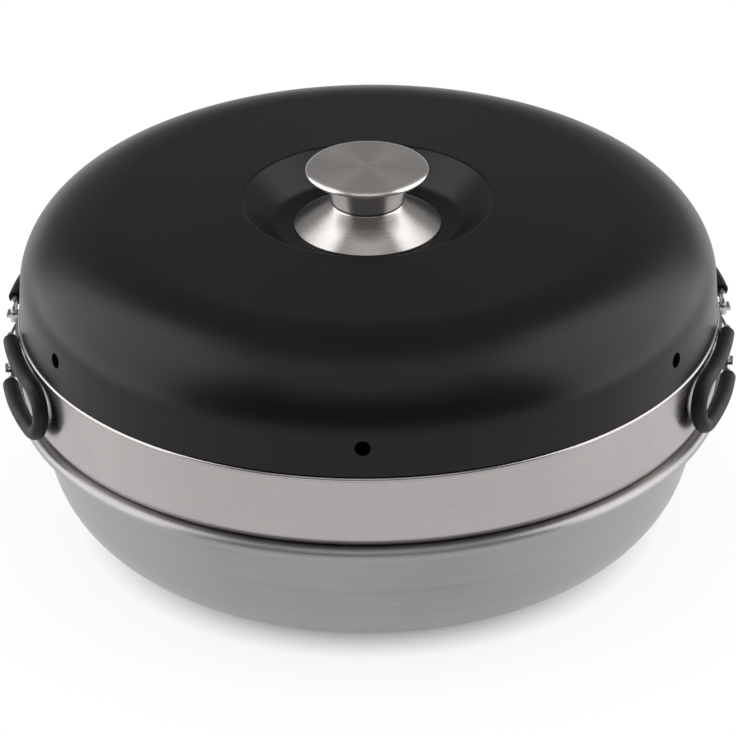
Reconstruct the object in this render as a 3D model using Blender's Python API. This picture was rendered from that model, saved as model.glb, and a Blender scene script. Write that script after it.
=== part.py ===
"""Camp oven: a steel base pan, a ring-shaped baking mould with a chimney, a black lid and folding handles.

Metres, +Z up. The origin is the centre of the base pan's underside. The front of the oven faces -Y and the
handles stand at -X (left) and +X (right).
"""
import math

import bmesh
import bpy
from mathutils import Matrix, Vector

MM = 0.001

# Clearances
TOUCH_GAP = 0.3 * MM
CUT_OVERRUN = 2.0 * MM
MERGE_DISTANCE = 0.003 * MM

# Base pan
BASE_SHEET = 1.0 * MM
BASE_HEIGHT = 61.6 * MM
BASE_SETBACK = 3.65 * MM
BASE_WALL_TAPER = math.radians(13.3)
BASE_CORNER_RADIUS = 42.8 * MM
BASE_RIM_RADIUS = 2.6 * MM
BASE_RIM_OVERHANG = 3.3 * MM
BASE_SEAT_RADIUS = 3.0 * MM
FLAME_COLLAR_RADIUS = 36.0 * MM
FLAME_COLLAR_HEIGHT = 15.0 * MM
FLAME_COLLAR_RUN = 17.0 * MM
FLAME_COLLAR_CORNER = 6.0 * MM

# Ring mould
MOULD_SHEET = 1.2 * MM
MOULD_RADIUS = 140.75 * MM
MOULD_BEAD_RADIUS = 0.9 * MM
MOULD_BEAD_STANDOUT = 0.4 * MM
MOULD_TOP = 92.8 * MM
MOULD_SHOULDER_RADIUS = 6.0 * MM
MOULD_LEDGE_WIDTH = 10.6 * MM
MOULD_LEDGE_CORNER = 3.0 * MM
MOULD_TROUGH_TAPER = math.radians(12.0)
MOULD_TROUGH_CORNER = 18.0 * MM
MOULD_FLOOR = 22.0 * MM
CHIMNEY_FOOT_RADIUS = 38.0 * MM
CHIMNEY_FOOT_CORNER = 9.0 * MM
CHIMNEY_TOP_RADIUS = 20.0 * MM
CHIMNEY_TOP = 79.0 * MM

# Lid
LID_SHEET = 1.5 * MM
LID_FOOT_SETBACK = 0.15 * MM
LID_DRAFT = 0.9 * MM
LID_SKIRT_HEIGHT = 13.9 * MM
LID_SHOULDER_RUN = 43.0 * MM
LID_SHOULDER_RISE = 32.3 * MM
LID_CROWN_RISE = 1.7 * MM
LID_LIP_CLEARANCE = 0.4 * MM
LID_LIP_DEPTH = 4.0 * MM
RECESS_RADIUS = 50.2 * MM
RECESS_DEPTH = 11.4 * MM
RECESS_EDGE_RADIUS = 2.2 * MM
RECESS_FLOOR_RADIUS = 36.0 * MM
RECESS_FLOOR_CORNER = 9.0 * MM
VENT_COUNT = 6
VENT_RADIUS = 3.1 * MM
VENT_DROP = 1.6 * MM
VENT_TURN = math.radians(-1.15)

# Knob
KNOB_BELL_RADIUS = 29.3 * MM
KNOB_BELL_HEIGHT = 10.0 * MM
KNOB_BELL_SHEET = 0.9 * MM
KNOB_BELL_NECK_RADIUS = 14.3 * MM
KNOB_BELL_EDGE = 0.6 * MM
KNOB_BELL_CONE_SHARE = 0.9
KNOB_NECK_FOOT_RADIUS = 14.3 * MM
KNOB_NECK_TOP_RADIUS = 16.0 * MM
KNOB_NECK_HEIGHT = 12.5 * MM
KNOB_NECK_FILLET = 1.0 * MM
KNOB_GROOVE_HEIGHT = 0.6 * MM
KNOB_GROOVE_DEPTH = 0.8 * MM
KNOB_DISC_RADIUS = 24.6 * MM
KNOB_DISC_RIM_RADIUS = 1.05 * MM
KNOB_DISC_BORDER_WIDTH = 3.0 * MM
KNOB_DISC_BORDER_DROP = 1.6 * MM
KNOB_CAP_WALL = 1.4 * MM
KNOB_STEM_FOOT_RADIUS = 6.0 * MM
KNOB_STEM_DEPTH = 8.0 * MM
KNOB_SCREW_RADIUS = 2.2 * MM
KNOB_SCREW_REACH = 14.0 * MM
KNOB_SCREW_HEAD_RADIUS = 4.6 * MM
KNOB_SCREW_HEAD_HEIGHT = 2.8 * MM
KNOB_SCREW_SLOT_WIDTH = 1.2 * MM
KNOB_SCREW_SLOT_DEPTH = 1.1 * MM
KNOB_GASKET_RADIUS = 10.0 * MM
KNOB_GASKET_THICKNESS = 1.2 * MM
KNOB_WASHER_RADIUS = 8.6 * MM
KNOB_WASHER_THICKNESS = 1.3 * MM

# Folding handles
HANDLE_STANDOFF = 3.6 * MM
HANDLE_SPLAY = 1.0 * MM
HANDLE_HINGE_OFFSET = 12.0 * MM
HANDLE_REACH = 55.3 * MM
HANDLE_DROP = 4.5 * MM
HANDLE_LOOP_HEIGHT = 19.7 * MM
WIRE_RADIUS = 1.5 * MM
WIRE_BEND_RADIUS = 3.0 * MM
WIRE_STUB = 7.2 * MM
SLEEVE_RADIUS = 3.2 * MM
SLEEVE_SETBACK = 6.5 * MM

# Handle brackets and their rivets
BRACKET_SHEET = 1.2 * MM
BRACKET_LUG_WALL = 0.9 * MM
RIVET_OFFSET = 4.2 * MM
RIVET_SHANK_RADIUS = 1.5 * MM
RIVET_HEAD_RADIUS = 2.8 * MM
RIVET_HEAD_HEIGHT = 1.4 * MM

# Facets
SHELL_SEGMENTS = 40
KNOB_SEGMENTS = 24
SMALL_SEGMENTS = 12
SLEEVE_SIDES = 8
WIRE_SIDES = 6
LID_SHOULDER_STEPS = 8
BELL_FLARE_STEPS = 5
DISC_BORDER_STEPS = 3
BRACKET_STEPS = 4
ARC_STEP = math.radians(30)
FINE_ARC_STEP = math.radians(15)
FINE_ARC_RADIUS = 9.0 * MM
BEAD_STEP = math.radians(45)
HANDLE_STEP_SHARE = 0.06
SHARP_ANGLE = math.radians(35)

# Places worked out from the sizes above
BASE_WALL_TOP_RADIUS = MOULD_RADIUS - BASE_SETBACK
BASE_RIM_CENTRE = (BASE_WALL_TOP_RADIUS + BASE_RIM_OVERHANG, BASE_HEIGHT - BASE_RIM_RADIUS)
BASE_NECK_RADIUS = BASE_WALL_TOP_RADIUS - BASE_RIM_RADIUS * math.tan(BASE_WALL_TAPER)
BASE_SEAT_CENTRE = (BASE_NECK_RADIUS - BASE_SHEET / math.cos(BASE_WALL_TAPER) + BASE_SEAT_RADIUS,
                    BASE_HEIGHT - BASE_SEAT_RADIUS)
SEAT_RUN = BASE_SEAT_CENTRE[0] - (MOULD_RADIUS - MOULD_SHOULDER_RADIUS)
SEAT_REACH = BASE_SEAT_RADIUS + MOULD_SHOULDER_RADIUS + TOUCH_GAP
MOULD_LEDGE = BASE_SEAT_CENTRE[1] + math.sqrt(SEAT_REACH ** 2 - SEAT_RUN ** 2) - MOULD_SHOULDER_RADIUS
MOULD_BEAD_CENTRE = (MOULD_RADIUS + MOULD_BEAD_STANDOUT - MOULD_BEAD_RADIUS, MOULD_TOP - MOULD_BEAD_RADIUS)
LID_LIP_RADIUS = MOULD_BEAD_CENTRE[0] - MOULD_BEAD_RADIUS - LID_LIP_CLEARANCE
LID_FOOT_RADIUS = MOULD_RADIUS - LID_FOOT_SETBACK
LID_RADIUS = LID_FOOT_RADIUS - LID_DRAFT
LID_BOTTOM = MOULD_TOP + TOUCH_GAP
LID_SKIRT_TOP = LID_BOTTOM + LID_SKIRT_HEIGHT
LID_CROWN = LID_SKIRT_TOP + LID_SHOULDER_RISE + LID_CROWN_RISE
RECESS_FLOOR = LID_CROWN - RECESS_DEPTH
BELL_FOOT = RECESS_FLOOR + TOUCH_GAP
BELL_TOP = BELL_FOOT + KNOB_BELL_HEIGHT
CAP_FOOT = BELL_TOP + TOUCH_GAP
SCREW_HOLE_RADIUS = KNOB_SCREW_RADIUS + TOUCH_GAP
GASKET_TOP = RECESS_FLOOR - LID_SHEET - TOUCH_GAP
WASHER_TOP = GASKET_TOP - KNOB_GASKET_THICKNESS - TOUCH_GAP
SCREW_HEAD_TOP = WASHER_TOP - KNOB_WASHER_THICKNESS - TOUCH_GAP
HANDLE_RADIUS = MOULD_RADIUS + HANDLE_STANDOFF
HANDLE_UPPER_HEIGHT = MOULD_TOP - HANDLE_DROP
HANDLE_LOWER_HEIGHT = HANDLE_UPPER_HEIGHT - HANDLE_LOOP_HEIGHT
BRACKET_TOP = HANDLE_UPPER_HEIGHT - WIRE_BEND_RADIUS - TOUCH_GAP
BRACKET_BOTTOM = HANDLE_LOWER_HEIGHT + WIRE_BEND_RADIUS + TOUCH_GAP
BRACKET_BACK = MOULD_RADIUS + TOUCH_GAP
BRACKET_FRONT = BRACKET_BACK + BRACKET_SHEET
HINGE_HOLE_RADIUS = WIRE_RADIUS + TOUCH_GAP
HINGE_RADIUS = BRACKET_FRONT + TOUCH_GAP + HINGE_HOLE_RADIUS
HINGE_ANGLE = math.asin(HANDLE_HINGE_OFFSET / HINGE_RADIUS)
LUG_HALF_WIDTH = HINGE_HOLE_RADIUS + BRACKET_LUG_WALL
LUG_END = HINGE_RADIUS + LUG_HALF_WIDTH
RIVET_HEIGHT = (BRACKET_TOP + BRACKET_BOTTOM) / 2
RIVET_HOLE_RADIUS = RIVET_SHANK_RADIUS + TOUCH_GAP


# Outlines: lists of (radius, height) points

def arc(centre, radius, start, end, step=ARC_STEP):
    """Points of a circular arc from one angle to another, both ends included."""
    count = max(2, math.ceil(abs(end - start) / step))
    angles = [start + (end - start) * i / count for i in range(count + 1)]
    return [(centre[0] + radius * math.cos(a), centre[1] + radius * math.sin(a)) for a in angles]


def filleted(corners):
    """A path through (radius, height, fillet) corners, each inner corner rounded to its fillet."""
    path = [Vector(corners[0][:2])]
    for before, corner, after in zip(corners, corners[1:], corners[2:]):
        point = Vector(corner[:2])
        back = (Vector(before[:2]) - point).normalized()
        ahead = (Vector(after[:2]) - point).normalized()
        fillet = corner[2]
        if fillet == 0:
            path.append(point)
            continue
        half = back.angle(ahead) / 2
        centre = point + (back + ahead).normalized() * fillet / math.sin(half)
        first = point + back * fillet / math.tan(half) - centre
        sweep = math.copysign(math.pi - 2 * half, ahead.cross(back))
        step = FINE_ARC_STEP if fillet > FINE_ARC_RADIUS else ARC_STEP
        count = max(2, math.ceil(abs(sweep) / step))
        for i in range(count + 1):
            path.append(centre + Matrix.Rotation(sweep * i / count, 2) @ first)
    path.append(Vector(corners[-1][:2]))
    apart = [point for before, point in zip(path, path[1:]) if (point - before).length > MERGE_DISTANCE]
    return [tuple(point) for point in path[:1] + apart]


def offset(path, distance):
    """The path moved sideways: to its left for a positive distance, to its right for a negative one."""
    points = [Vector(point) for point in path]
    moved = []
    for i, point in enumerate(points):
        into = (point - points[i - 1]).normalized() if i > 0 else None
        out = (points[i + 1] - point).normalized() if i < len(points) - 1 else None
        into = into or out
        out = out or into
        left = Vector((-(into.y + out.y), into.x + out.x)).normalized()
        moved.append(tuple(point + left * distance / left.dot(Vector((-into.y, into.x)))))
    return moved


# Solids

def material(name, colour, roughness, metallic):
    made = bpy.data.materials.new(name)
    made.use_nodes = True
    shader = made.node_tree.nodes["Principled BSDF"]
    shader.inputs["Base Color"].default_value = (*colour, 1.0)
    shader.inputs["Roughness"].default_value = roughness
    shader.inputs["Metallic"].default_value = metallic
    return made


def add_object(name, bm, finish, parent=None):
    """One named object from a closed bmesh, smooth where it is round."""
    bmesh.ops.recalc_face_normals(bm, faces=bm.faces)
    mesh = bpy.data.meshes.new(name)
    bm.to_mesh(mesh)
    bm.free()
    mesh.shade_smooth()
    mesh.set_sharp_from_angle(angle=SHARP_ANGLE)
    made = bpy.data.objects.new(name, mesh)
    bpy.context.collection.objects.link(made)
    if finish:
        mesh.materials.append(finish)
    if parent:
        made.parent = parent
    return made


def add_empty(name, place, parent=None):
    """An empty on a joint's axis, which carries the pieces that move with it."""
    made = bpy.data.objects.new(name, None)
    bpy.context.collection.objects.link(made)
    made.location = place
    if parent:
        made.parent = parent
        made.location = Vector(place) - parent.matrix_world.translation
    bpy.context.view_layer.update()
    return made


def turned(outline, segments, height=0):
    """A closed outline of (radius, height) points turned once round the Z axis."""
    bm = bmesh.new()
    verts = [bm.verts.new((r, 0, z - height)) for r, z in outline]
    edges = [bm.edges.new((verts[i - 1], verts[i])) for i in range(len(verts))
             if max(outline[i - 1][0], outline[i][0]) > 0]
    bmesh.ops.spin(bm, geom=edges, axis=(0, 0, 1), cent=(0, 0, 0), angle=math.tau, steps=segments,
                   use_merge=True, use_duplicate=False)
    bmesh.ops.remove_doubles(bm, verts=bm.verts, dist=MERGE_DISTANCE)
    return bm


def swept_rings(rings, closed_loop=False):
    """A skin over rings of equally many points; open ends are capped, a closed loop is joined."""
    bm = bmesh.new()
    rows = [[bm.verts.new(point) for point in ring] for ring in rings]
    pairs = list(zip(rows, rows[1:]))
    if closed_loop:
        pairs.append((rows[-1], rows[0]))
    for row, following in pairs:
        for i in range(len(row)):
            bm.faces.new((row[i - 1], row[i], following[i], following[i - 1]))
    if not closed_loop:
        bm.faces.new(rows[0])
        bm.faces.new(rows[-1])
    return bm


def cut(target, cutter_mesh, name):
    """Leave a Boolean on the target, with its cutter shown as wire only."""
    cutter = add_object(name, cutter_mesh, None, target.parent)
    cutter.hide_render = True
    cutter.display_type = "WIRE"
    modifier = target.modifiers.new(name, "BOOLEAN")
    modifier.operation = "DIFFERENCE"
    modifier.object = cutter


def add_rod(bm, start, end, radius, segments=SMALL_SEGMENTS):
    """A plain round rod between two points, for a cutter."""
    axis = Vector(end) - Vector(start)
    turn = axis.to_track_quat("Z", "Y").to_matrix().to_4x4()
    place = Matrix.Translation((Vector(start) + Vector(end)) / 2) @ turn
    bmesh.ops.create_cone(bm, cap_ends=True, segments=segments, radius1=radius, radius2=radius,
                          depth=axis.length, matrix=place)


def polar(radius, angle, height):
    return Vector((radius * math.cos(angle), radius * math.sin(angle), height))


# Base pan

def base_outline():
    """Sheet pan with a rolled rim, a wide rounded corner and a raised collar for the flame."""
    wall_foot = BASE_WALL_TOP_RADIUS - BASE_HEIGHT * math.tan(BASE_WALL_TAPER)
    wall_top = BASE_RIM_CENTRE[1] - BASE_RIM_RADIUS
    skin = filleted([
        (BASE_WALL_TOP_RADIUS - (BASE_HEIGHT - wall_top) * math.tan(BASE_WALL_TAPER), wall_top, 0),
        (wall_foot, 0, BASE_CORNER_RADIUS),
        (FLAME_COLLAR_RADIUS + FLAME_COLLAR_RUN, 0, FLAME_COLLAR_CORNER),
        (FLAME_COLLAR_RADIUS, FLAME_COLLAR_HEIGHT, 0),
    ])
    inside = offset(skin, -BASE_SHEET)
    seat = arc(BASE_SEAT_CENTRE, BASE_SEAT_RADIUS, math.pi, math.pi / 2)
    rim = arc(BASE_RIM_CENTRE, BASE_RIM_RADIUS, math.pi / 2, -math.pi / 2)
    return skin + inside[::-1] + seat + rim


def make_base(steel):
    add_object("base_pan", turned(base_outline(), SHELL_SEGMENTS), steel)


# Ring mould

def mould_outline():
    """Ring trough hung by a rounded shoulder on the base pan's rim, with a chimney in its middle."""
    ledge_end = MOULD_RADIUS - MOULD_LEDGE_WIDTH
    trough_foot = ledge_end - (MOULD_LEDGE - MOULD_FLOOR) * math.tan(MOULD_TROUGH_TAPER)
    bead_end = -math.acos(1 - MOULD_BEAD_STANDOUT / MOULD_BEAD_RADIUS)
    skin = filleted([
        (MOULD_RADIUS, MOULD_BEAD_CENTRE[1] - MOULD_BEAD_RADIUS, 0),
        (MOULD_RADIUS, MOULD_LEDGE, MOULD_SHOULDER_RADIUS),
        (ledge_end, MOULD_LEDGE, MOULD_LEDGE_CORNER),
        (trough_foot, MOULD_FLOOR, MOULD_TROUGH_CORNER),
        (CHIMNEY_FOOT_RADIUS, MOULD_FLOOR, CHIMNEY_FOOT_CORNER),
        (CHIMNEY_TOP_RADIUS, CHIMNEY_TOP, 0),
    ])
    inside = offset(skin, -MOULD_SHEET)
    bead = arc(MOULD_BEAD_CENTRE, MOULD_BEAD_RADIUS, math.pi, bead_end, step=BEAD_STEP)
    return skin + inside[::-1] + bead


def make_mould(steel, frame):
    ring = add_object("baking_ring", turned(mould_outline(), SHELL_SEGMENTS, MOULD_LEDGE), steel, frame)
    holes = bmesh.new()
    for side in (0, math.pi):
        for offset_angle in (-RIVET_OFFSET / MOULD_RADIUS, RIVET_OFFSET / MOULD_RADIUS):
            angle = side + offset_angle
            start = polar(MOULD_RADIUS - MOULD_SHEET - CUT_OVERRUN, angle, RIVET_HEIGHT - MOULD_LEDGE)
            end = polar(MOULD_RADIUS + CUT_OVERRUN, angle, RIVET_HEIGHT - MOULD_LEDGE)
            add_rod(holes, start, end, RIVET_HOLE_RADIUS)
    cut(ring, holes, "rivet_hole_cutter")


# Lid

def lid_outline():
    """Skirt, elliptical shoulder, nearly flat crown and a dished recess for the knob."""
    shoulder = []
    for i in range(LID_SHOULDER_STEPS + 1):
        a = math.pi / 2 * i / LID_SHOULDER_STEPS
        shoulder.append((LID_RADIUS - LID_SHOULDER_RUN * (1 - math.cos(a)),
                         LID_SKIRT_TOP + LID_SHOULDER_RISE * math.sin(a)))
    recess = filleted([
        (*shoulder[-1], 0),
        (RECESS_RADIUS, LID_CROWN, RECESS_EDGE_RADIUS),
        (RECESS_FLOOR_RADIUS, RECESS_FLOOR, RECESS_FLOOR_CORNER),
        (SCREW_HOLE_RADIUS, RECESS_FLOOR, 0),
    ])
    skin = [(LID_LIP_RADIUS, LID_BOTTOM - LID_LIP_DEPTH), (LID_LIP_RADIUS, LID_BOTTOM),
            (LID_FOOT_RADIUS, LID_BOTTOM)]
    skin += shoulder + recess[1:]
    return skin + offset(skin, LID_SHEET)[::-1]


def make_lid(coating, frame):
    lid = add_object("lid_shell", turned(lid_outline(), SHELL_SEGMENTS, LID_BOTTOM), coating, frame)
    vents = bmesh.new()
    height = LID_SKIRT_TOP - VENT_DROP - LID_BOTTOM
    for i in range(VENT_COUNT):
        angle = VENT_TURN - math.pi / 2 + math.tau * i / VENT_COUNT
        start = polar(LID_RADIUS - LID_SHEET - CUT_OVERRUN, angle, height)
        end = polar(LID_RADIUS + CUT_OVERRUN, angle, height)
        add_rod(vents, start, end, VENT_RADIUS)
    cut(lid, vents, "vent_cutter")


# Knob

def bell_outline():
    """Flared escutcheon: a thin steel bell that widens down to the recess floor."""
    rise = KNOB_BELL_HEIGHT - KNOB_BELL_EDGE
    run = KNOB_BELL_RADIUS - KNOB_BELL_NECK_RADIUS
    flare = []
    for i in range(BELL_FLARE_STEPS + 1):
        a = math.pi / 2 * i / BELL_FLARE_STEPS
        up = KNOB_BELL_CONE_SHARE * math.sin(a) + (1 - KNOB_BELL_CONE_SHARE) * (1 - math.cos(a))
        flare.append((KNOB_BELL_RADIUS - run * math.sin(a), BELL_TOP - rise * (1 - up)))
    skin = [(KNOB_BELL_RADIUS, BELL_FOOT)] + flare + [(KNOB_STEM_FOOT_RADIUS + TOUCH_GAP, BELL_TOP)]
    return skin + offset(skin, KNOB_BELL_SHEET)[::-1]


def cap_outline():
    """Grip: a flat disc on a neck that narrows down to a small groove at its foot, hollow from below."""
    groove_radius = KNOB_NECK_FOOT_RADIUS - KNOB_GROOVE_DEPTH
    groove_top = CAP_FOOT + KNOB_GROOVE_HEIGHT
    neck_top = CAP_FOOT + KNOB_NECK_HEIGHT
    rim_centre = (KNOB_DISC_RADIUS - KNOB_DISC_RIM_RADIUS, neck_top + KNOB_DISC_RIM_RADIUS)
    rim = arc(rim_centre, KNOB_DISC_RIM_RADIUS, -math.pi / 2, 0, step=BEAD_STEP)
    border = []
    for i in range(1, DISC_BORDER_STEPS + 1):
        a = math.pi / 2 * i / DISC_BORDER_STEPS
        border.append((KNOB_DISC_RADIUS - KNOB_DISC_BORDER_WIDTH * (1 - math.cos(a)),
                       rim_centre[1] + KNOB_DISC_BORDER_DROP * math.sin(a)))
    neck = filleted([
        (groove_radius, CAP_FOOT, 0),
        (groove_radius, groove_top, 0),
        (KNOB_NECK_FOOT_RADIUS, groove_top, 0),
        (KNOB_NECK_TOP_RADIUS, neck_top, KNOB_NECK_FILLET),
        (rim_centre[0], neck_top, 0),
    ])
    face = rim_centre[1] + KNOB_DISC_BORDER_DROP
    cavity_top = face - KNOB_CAP_WALL
    cavity_radius = KNOB_NECK_FOOT_RADIUS - KNOB_CAP_WALL
    return (neck[:-1] + rim + border
            + [(0, face), (0, cavity_top), (cavity_radius, cavity_top), (cavity_radius, CAP_FOOT)])


def stem_outline():
    """Threaded core: a foot through the bell, and a plug that fills the grip's neck."""
    plug_radius = KNOB_NECK_FOOT_RADIUS - KNOB_CAP_WALL - TOUCH_GAP
    plug_top = CAP_FOOT + KNOB_STEM_DEPTH
    return [(SCREW_HOLE_RADIUS, BELL_FOOT), (KNOB_STEM_FOOT_RADIUS, BELL_FOOT),
            (KNOB_STEM_FOOT_RADIUS, CAP_FOOT), (plug_radius, CAP_FOOT),
            (plug_radius, plug_top), (SCREW_HOLE_RADIUS, plug_top)]


def ring_outline(inner, outer, top, thickness):
    return [(inner, top - thickness), (outer, top - thickness), (outer, top), (inner, top)]


def screw_outline():
    """Pan-head screw from under the lid into the core."""
    edge = KNOB_SCREW_HEAD_HEIGHT / 2
    bottom = SCREW_HEAD_TOP - KNOB_SCREW_HEAD_HEIGHT
    return [(0, bottom), (KNOB_SCREW_HEAD_RADIUS - edge, bottom), (KNOB_SCREW_HEAD_RADIUS, bottom + edge),
            (KNOB_SCREW_HEAD_RADIUS, SCREW_HEAD_TOP), (KNOB_SCREW_RADIUS, SCREW_HEAD_TOP),
            (KNOB_SCREW_RADIUS, RECESS_FLOOR + KNOB_SCREW_REACH), (0, RECESS_FLOOR + KNOB_SCREW_REACH)]


def make_knob(finishes, frame):
    gasket = ring_outline(SCREW_HOLE_RADIUS, KNOB_GASKET_RADIUS, GASKET_TOP, KNOB_GASKET_THICKNESS)
    washer = ring_outline(SCREW_HOLE_RADIUS, KNOB_WASHER_RADIUS, WASHER_TOP, KNOB_WASHER_THICKNESS)
    for name, outline, segments, finish in (
            ("knob_cap", cap_outline(), KNOB_SEGMENTS, "knob_steel"),
            ("knob_bell", bell_outline(), KNOB_SEGMENTS, "knob_steel"),
            ("knob_core", stem_outline(), KNOB_SEGMENTS, "wire_steel"),
            ("knob_gasket", gasket, KNOB_SEGMENTS, "silicone"),
            ("knob_washer", washer, KNOB_SEGMENTS, "wire_steel")):
        add_object(name, turned(outline, segments, LID_BOTTOM), finishes[finish], frame)
    screw_body = turned(screw_outline(), KNOB_SEGMENTS, LID_BOTTOM)
    screw = add_object("knob_screw", screw_body, finishes["wire_steel"], frame)
    slot = bmesh.new()
    bottom = SCREW_HEAD_TOP - KNOB_SCREW_HEAD_HEIGHT - LID_BOTTOM
    size = (2 * KNOB_SCREW_HEAD_RADIUS + CUT_OVERRUN, KNOB_SCREW_SLOT_WIDTH, 2 * KNOB_SCREW_SLOT_DEPTH)
    place = Matrix.Translation((0, 0, bottom)) @ Matrix.Diagonal((*size, 1))
    bmesh.ops.create_cube(slot, size=1, matrix=place)
    cut(screw, slot, "screw_slot_cutter")


# Folding handles

def split_long(path, longest):
    """The path with its long straight stretches divided, so that they can follow the mould's curve."""
    points = [path[0]]
    for before, after in zip(path, path[1:]):
        count = max(1, math.ceil((Vector(after) - Vector(before)).length / longest))
        points += [tuple(Vector(before).lerp(Vector(after), i / count)) for i in range(1, count + 1)]
    return points


def leg_radius(reach, height):
    """How far the loop runs from Z: near the wall at the hinge, then eased out, most on the lower leg."""
    eased = min(max(reach / SLEEVE_SETBACK, 0), 1)
    splay = HANDLE_SPLAY * (HANDLE_UPPER_HEIGHT - height) / HANDLE_LOOP_HEIGHT
    return HINGE_RADIUS + (HANDLE_RADIUS + splay - HINGE_RADIUS) * eased ** 2 * (3 - 2 * eased)


def hinge_place(side, lean):
    across = HINGE_RADIUS * math.cos(HINGE_ANGLE)
    return Vector((side * across, lean * HANDLE_HINGE_OFFSET, HANDLE_UPPER_HEIGHT))


def tube_rings(path, radius, sides, side, lean):
    """Rings round a path of (reach, height) points wrapped round the mould, in hinge coordinates."""
    outwards = []
    centres = []
    for reach, height in path:
        angle = HINGE_ANGLE + reach / HANDLE_RADIUS
        outward = Vector((side * math.cos(angle), lean * math.sin(angle), 0))
        outwards.append(outward)
        centres.append(outward * leg_radius(reach, height) + Vector((0, 0, height)) - hinge_place(side, lean))
    rings = []
    for i, (centre, outward) in enumerate(zip(centres, outwards)):
        into = (centre - centres[i - 1]).normalized() if i > 0 else None
        out = (centres[i + 1] - centre).normalized() if i < len(centres) - 1 else None
        into = into or out
        out = out or into
        along = (into + out).normalized()
        aside = along.cross(outward).normalized()
        across = aside.cross(along)
        mitre = 1 / along.dot(into)
        rings.append([centre + across * radius * math.cos(a) + aside * radius * mitre * math.sin(a)
                      for a in [math.tau * k / sides for k in range(sides)]])
    return rings


def wire_path():
    """Hairpin wire: out of the upper lug, along the mould, round the bend and back into the lower lug."""
    lower, upper, bend = HANDLE_LOWER_HEIGHT, HANDLE_UPPER_HEIGHT, HANDLE_LOOP_HEIGHT / 2
    return filleted([
        (0, upper - WIRE_STUB, 0),
        (0, upper, WIRE_BEND_RADIUS),
        (SLEEVE_SETBACK, upper, 0),
        (HANDLE_REACH, upper, bend),
        (HANDLE_REACH, lower, bend),
        (SLEEVE_SETBACK, lower, 0),
        (0, lower, WIRE_BEND_RADIUS),
        (0, lower + WIRE_STUB, 0),
    ])


def sleeve_path():
    """The wire's path between the two hinge bends, which the sleeve covers."""
    lower, upper, bend = HANDLE_LOWER_HEIGHT, HANDLE_UPPER_HEIGHT, HANDLE_LOOP_HEIGHT / 2
    return filleted([(SLEEVE_SETBACK, upper, 0), (HANDLE_REACH, upper, bend),
                     (HANDLE_REACH, lower, bend), (SLEEVE_SETBACK, lower, 0)])


def sleeve_solid(side, lean):
    """A tube with a bore for the wire: the outer skin there, the bore back, joined at both ends."""
    path = split_long(sleeve_path(), HANDLE_RADIUS * HANDLE_STEP_SHARE)
    outer = tube_rings(path, SLEEVE_RADIUS, SLEEVE_SIDES, side, lean)
    bore = tube_rings(path, WIRE_RADIUS + TOUCH_GAP, SLEEVE_SIDES, side, lean)
    return swept_rings(outer + bore[::-1], closed_loop=True)


def make_handles(finishes, frame):
    path = split_long(wire_path(), HANDLE_RADIUS * HANDLE_STEP_SHARE)
    for side_name, side in (("left", -1), ("right", 1)):
        for lean_name, lean in (("front", -1), ("rear", 1)):
            place = f"{side_name}_{lean_name}"
            hinge = add_empty(f"hinge_{place}", hinge_place(side, lean), frame)
            wire = swept_rings(tube_rings(path, WIRE_RADIUS, WIRE_SIDES, side, lean))
            add_object(f"handle_wire_{place}", wire, finishes["wire_steel"], hinge)
            add_object(f"handle_sleeve_{place}", sleeve_solid(side, lean), finishes["silicone"], hinge)


# Brackets and rivets

def bent_round_wall(outline, half_width, side):
    """An outline of (radius, height) points swept a little way round Z, across the left or right wall."""
    middle = 0 if side > 0 else math.pi
    half_angle = half_width / HINGE_RADIUS
    angles = [middle - half_angle + 2 * half_angle * i / BRACKET_STEPS for i in range(BRACKET_STEPS + 1)]
    return swept_rings([[polar(r, a, z - MOULD_LEDGE) for r, z in outline] for a in angles])


def bracket_outline():
    """A channel bent from sheet: a back plate on the mould's wall with a lug above and below."""
    low = BRACKET_BOTTOM + BRACKET_SHEET
    high = BRACKET_TOP - BRACKET_SHEET
    return [(BRACKET_BACK, BRACKET_BOTTOM), (LUG_END, BRACKET_BOTTOM), (LUG_END, low), (BRACKET_FRONT, low),
            (BRACKET_FRONT, high), (LUG_END, high), (LUG_END, BRACKET_TOP), (BRACKET_BACK, BRACKET_TOP)]


def lug_gap_outline():
    """What is cut away between the front lugs and the rear ones, down to the bend at the back plate."""
    near = BRACKET_FRONT + TOUCH_GAP
    far = LUG_END + CUT_OVERRUN
    low = BRACKET_BOTTOM - CUT_OVERRUN
    high = BRACKET_TOP + CUT_OVERRUN
    return [(near, low), (far, low), (far, high), (near, high)]


def wall_angle(side, lean, turn):
    """The angle round Z of a place on the left or right wall, turned towards the front or the rear."""
    return lean * turn if side > 0 else math.pi - lean * turn


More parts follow.
